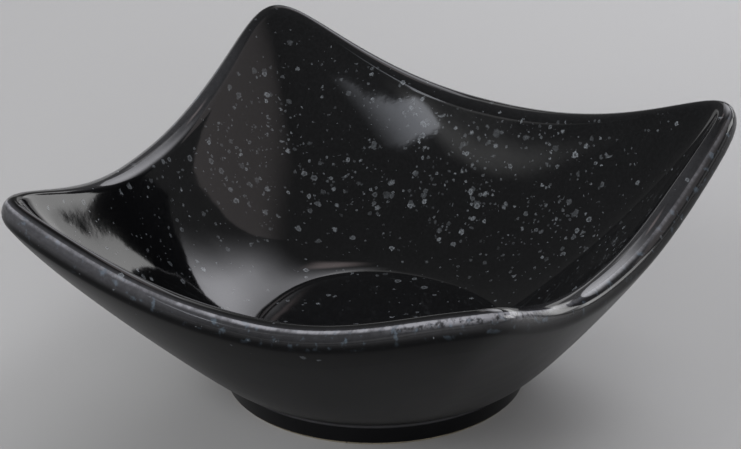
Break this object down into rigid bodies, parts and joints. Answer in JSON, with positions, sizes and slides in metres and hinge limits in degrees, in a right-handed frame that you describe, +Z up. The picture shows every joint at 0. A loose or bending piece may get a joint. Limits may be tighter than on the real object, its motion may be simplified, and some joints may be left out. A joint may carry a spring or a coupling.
{
  "type": "square dish",
  "caption": "Small square stoneware dish with flared walls, upswept corners, a round flat floor and a round foot ring, glazed a speckled glossy black.",
  "frame": {"origin": "centre of the foot ring's standing face, on the table", "axes": "+Z up out of the bowl; +X, -X, +Y and -Y point out through the middles of the four sides"},
  "size_m": [0.0996, 0.0996, 0.0448],
  "materials": {
    "clay": "bare fired stoneware, matt and slightly sandy, grey-beige",
    "speckled_glaze": "glossy black glaze with pale bluish crystal flecks that cluster on the walls",
    "satin_glaze": "plain black glaze with a softer shine"
  },
  "bodies": {
    "root": {"dish_body": "clay", "foot_ring": "clay", "inside_glaze": "speckled_glaze", "outside_glaze": "satin_glaze", "foot_well_glaze": "satin_glaze"}
  },
  "joints": []
}
